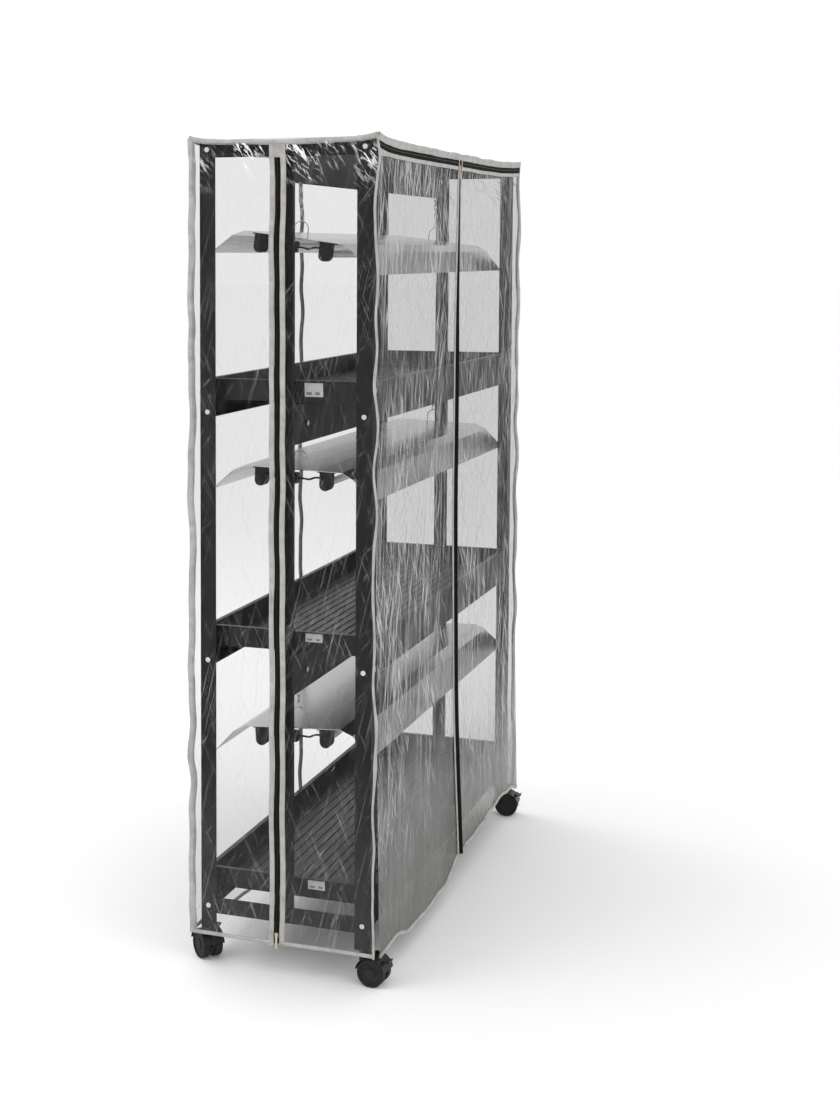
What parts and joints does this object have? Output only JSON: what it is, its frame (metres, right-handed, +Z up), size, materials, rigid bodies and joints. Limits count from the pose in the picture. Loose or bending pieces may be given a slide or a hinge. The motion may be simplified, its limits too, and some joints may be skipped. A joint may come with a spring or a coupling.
{
  "type": "grow-light plant stand",
  "caption": "Wheeled sheet-steel plant stand with plastic trays under chain-hung fluorescent reflectors, inside a zipped clear film cover.",
  "frame": {"origin": "middle of the stand on the floor", "axes": "+X along the stand's length, -Y out of the front with the opening flaps, +Z up"},
  "size_m": [1.325, 0.4797, 1.825],
  "materials": {
    "black_steel": "satin powder coat",
    "screws": "bright",
    "tray_plastic": "satin, ribbed floor",
    "reflector": "bright rolled",
    "lamp_holder": "matt moulded",
    "lamp_tube": "frosted white",
    "zinc_wire": "zinc plated",
    "caster_plastic": "semi-gloss",
    "caster_tyre": "matt tread",
    "clear_film": "clear, lightly creased",
    "zip_metal": "dull plated"
  },
  "bodies": {
    "stand": {"front_posts": "black_steel", "back_posts": "black_steel", "centre_posts": "black_steel", "end_bars": "black_steel", "rails_1": "black_steel", "rails_2": "black_steel", "rails_3": "black_steel", "light_beam_1": "black_steel", "light_beam_2": "black_steel", "light_beam_3": "black_steel", "frame_screws": "screws", "chain_bolts": "screws"},
    "tray_1": {"tray_1": "tray_plastic"},
    "tray_2": {"tray_2": "tray_plastic"},
    "tray_3": {"tray_3": "tray_plastic"},
    "sling_1": {"chains_1": "zinc_wire"},
    "light_1": {"reflector_1": "reflector", "lamp_holders_1": "lamp_holder", "lamps_1": "lamp_tube", "hanger_wires_1": "zinc_wire", "jumper_lead_1": "lamp_holder", "lead_connector_1": "lamp_holder"},
    "sling_2": {"chains_2": "zinc_wire"},
    "light_2": {"reflector_2": "reflector", "lamp_holders_2": "lamp_holder", "lamps_2": "lamp_tube", "hanger_wires_2": "zinc_wire", "jumper_lead_2": "lamp_holder", "lead_connector_2": "lamp_holder"},
    "sling_3": {"chains_3": "zinc_wire"},
    "light_3": {"reflector_3": "reflector", "lamp_holders_3": "lamp_holder", "lamps_3": "lamp_tube", "hanger_wires_3": "zinc_wire", "jumper_lead_3": "lamp_holder", "lead_connector_3": "lamp_holder"},
    "caster_front_left": {"caster_body_front_left": "caster_plastic"},
    "wheels_front_left": {"caster_wheels_front_left": "caster_tyre"},
    "lever_front_left": {"brake_lever_front_left": "caster_plastic"},
    "caster_front_right": {"caster_body_front_right": "caster_plastic"},
    "wheels_front_right": {"caster_wheels_front_right": "caster_tyre"},
    "lever_front_right": {"brake_lever_front_right": "caster_plastic"},
    "caster_back_left": {"caster_body_back_left": "caster_plastic"},
    "wheels_back_left": {"caster_wheels_back_left": "caster_tyre"},
    "caster_back_right": {"caster_body_back_right": "caster_plastic"},
    "wheels_back_right": {"caster_wheels_back_right": "caster_tyre"},
    "cover": {"cover_top": "clear_film", "cover_back": "clear_film", "cover_right_end": "clear_film", "cover_left_end": "clear_film"},
    "flap_left": {"cover_flap_left": "clear_film"},
    "flap_right": {"cover_flap_right": "clear_film"},
    "end_zip_slider": {"end_zip_slider": "zip_metal"},
    "end_zip_pull": {"end_zip_pull": "zip_metal"},
    "front_zip_slider": {"front_zip_slider": "zip_metal"},
    "front_zip_pull": {"front_zip_pull": "zip_metal"},
    "top_zip_left_slider": {"top_zip_left_slider": "zip_metal"},
    "top_zip_left_pull": {"top_zip_left_pull": "zip_metal"},
    "top_zip_right_slider": {"top_zip_right_slider": "zip_metal"},
    "top_zip_right_pull": {"top_zip_right_pull": "zip_metal"}
  },
  "joints": [
    {"name": "tray_1_lift", "type": "slide", "parent": "stand", "child": "tray_1", "axis": [0, 0, 1], "range_m": [0, 0.08]},
    {"name": "tray_2_lift", "type": "slide", "parent": "stand", "child": "tray_2", "axis": [0, 0, 1], "range_m": [0, 0.08]},
    {"name": "tray_3_lift", "type": "slide", "parent": "stand", "child": "tray_3", "axis": [0, 0, 1], "range_m": [0, 0.08]},
    {"name": "light_1_swing", "type": "hinge", "parent": "stand", "child": "sling_1", "pos_m": [0, 0, 1.773], "axis": [1, 0, 0], "range_deg": [-4, 4]},
    {"name": "light_1_raise", "type": "slide", "parent": "sling_1", "child": "light_1", "axis": [0, 0, 1], "range_m": [0, 0.06], "deforming": ["chains_1"]},
    {"name": "light_2_swing", "type": "hinge", "parent": "stand", "child": "sling_2", "pos_m": [0, 0, 1.207], "axis": [1, 0, 0], "range_deg": [-4, 4]},
    {"name": "light_2_raise", "type": "slide", "parent": "sling_2", "child": "light_2", "axis": [0, 0, 1], "range_m": [0, 0.02], "deforming": ["chains_2"]},
    {"name": "light_3_swing", "type": "hinge", "parent": "stand", "child": "sling_3", "pos_m": [0, 0, 0.659], "axis": [1, 0, 0], "range_deg": [-4, 4]},
    {"name": "light_3_raise", "type": "slide", "parent": "sling_3", "child": "light_3", "axis": [0, 0, 1], "range_m": [0, 0.03], "deforming": ["chains_3"]},
    {"name": "front_left_swivel", "type": "hinge", "parent": "stand", "child": "caster_front_left", "pos_m": [-0.627, -0.179, 0.079], "axis": [0, 0, 1], "continuous": true},
    {"name": "front_left_roll", "type": "hinge", "parent": "caster_front_left", "child": "wheels_front_left", "pos_m": [-0.6293, -0.20088, 0.031], "axis": [-0.9945, 0.1045, 0], "continuous": true},
    {"name": "front_left_brake", "type": "hinge", "parent": "caster_front_left", "child": "lever_front_left", "pos_m": [-0.63215, -0.22795, 0.05822], "axis": [0.9945, -0.1045, 0], "range_deg": [0, 20]},
    {"name": "front_right_swivel", "type": "hinge", "parent": "stand", "child": "caster_front_right", "pos_m": [0.627, -0.179, 0.079], "axis": [0, 0, 1], "continuous": true},
    {"name": "front_right_roll", "type": "hinge", "parent": "caster_front_right", "child": "wheels_front_right", "pos_m": [0.6293, -0.20088, 0.031], "axis": [-0.9945, -0.1045, 0], "continuous": true},
    {"name": "front_right_brake", "type": "hinge", "parent": "caster_front_right", "child": "lever_front_right", "pos_m": [0.63215, -0.22795, 0.05822], "axis": [0.9945, 0.1045, 0], "range_deg": [0, 20]},
    {"name": "back_left_swivel", "type": "hinge", "parent": "stand", "child": "caster_back_left", "pos_m": [-0.627, 0.179, 0.079], "axis": [0, 0, 1], "continuous": true},
    {"name": "back_left_roll", "type": "hinge", "parent": "caster_back_left", "child": "wheels_back_left", "pos_m": [-0.61228, 0.19535, 0.031], "axis": [0.7431, -0.6691, 0], "continuous": true},
    {"name": "back_right_swivel", "type": "hinge", "parent": "stand", "child": "caster_back_right", "pos_m": [0.627, 0.179, 0.079], "axis": [0, 0, 1], "continuous": true},
    {"name": "back_right_roll", "type": "hinge", "parent": "caster_back_right", "child": "wheels_back_right", "pos_m": [0.627, 0.201, 0.031], "axis": [1, 0, 0], "continuous": true},
    {"name": "cover_lift", "type": "slide", "parent": "stand", "child": "cover", "axis": [0, 0, 1], "range_m": [0, 1.8]},
    {"name": "flap_left_open", "type": "hinge", "parent": "cover", "child": "flap_left", "pos_m": [-0.6574, -0.2097, 1], "axis": [0, 0, 1], "range_deg": [-100, 0]},
    {"name": "flap_right_open", "type": "hinge", "parent": "cover", "child": "flap_right", "pos_m": [0.6574, -0.2097, 1], "axis": [0, 0, 1], "range_deg": [0, 100]},
    {"name": "end_zip_slide", "type": "slide", "parent": "cover", "child": "end_zip_slider", "axis": [0, 0, 1], "range_m": [0, 1.6]},
    {"name": "end_zip_pull_swing", "type": "hinge", "parent": "end_zip_slider", "child": "end_zip_pull", "pos_m": [-0.6639, 0.012, 0.0925], "axis": [0, 1, 0], "range_deg": [0, 80]},
    {"name": "front_zip_slide", "type": "slide", "parent": "flap_left", "child": "front_zip_slider", "axis": [0, 0, 1], "range_m": [-1.6, 0]},
    {"name": "front_zip_pull_swing", "type": "hinge", "parent": "front_zip_slider", "child": "front_zip_pull", "pos_m": [0.005, -0.2139, 1.789], "axis": [-1, 0, 0], "range_deg": [0, 80]},
    {"name": "top_zip_left_slide", "type": "slide", "parent": "flap_left", "child": "top_zip_left_slider", "axis": [1, 0, 0], "range_m": [-0.62, 0]},
    {"name": "top_zip_left_pull_swing", "type": "hinge", "parent": "top_zip_left_slider", "child": "top_zip_left_pull", "pos_m": [-0.008, -0.2139, 1.802], "axis": [-1, 0, 0], "range_deg": [0, 80]},
    {"name": "top_zip_right_slide", "type": "slide", "parent": "flap_right", "child": "top_zip_right_slider", "axis": [1, 0, 0], "range_m": [0, 0.61]},
    {"name": "top_zip_right_pull_swing", "type": "hinge", "parent": "top_zip_right_slider", "child": "top_zip_right_pull", "pos_m": [0.02, -0.2139, 1.802], "axis": [-1, 0, 0], "range_deg": [0, 80]}
  ]
}
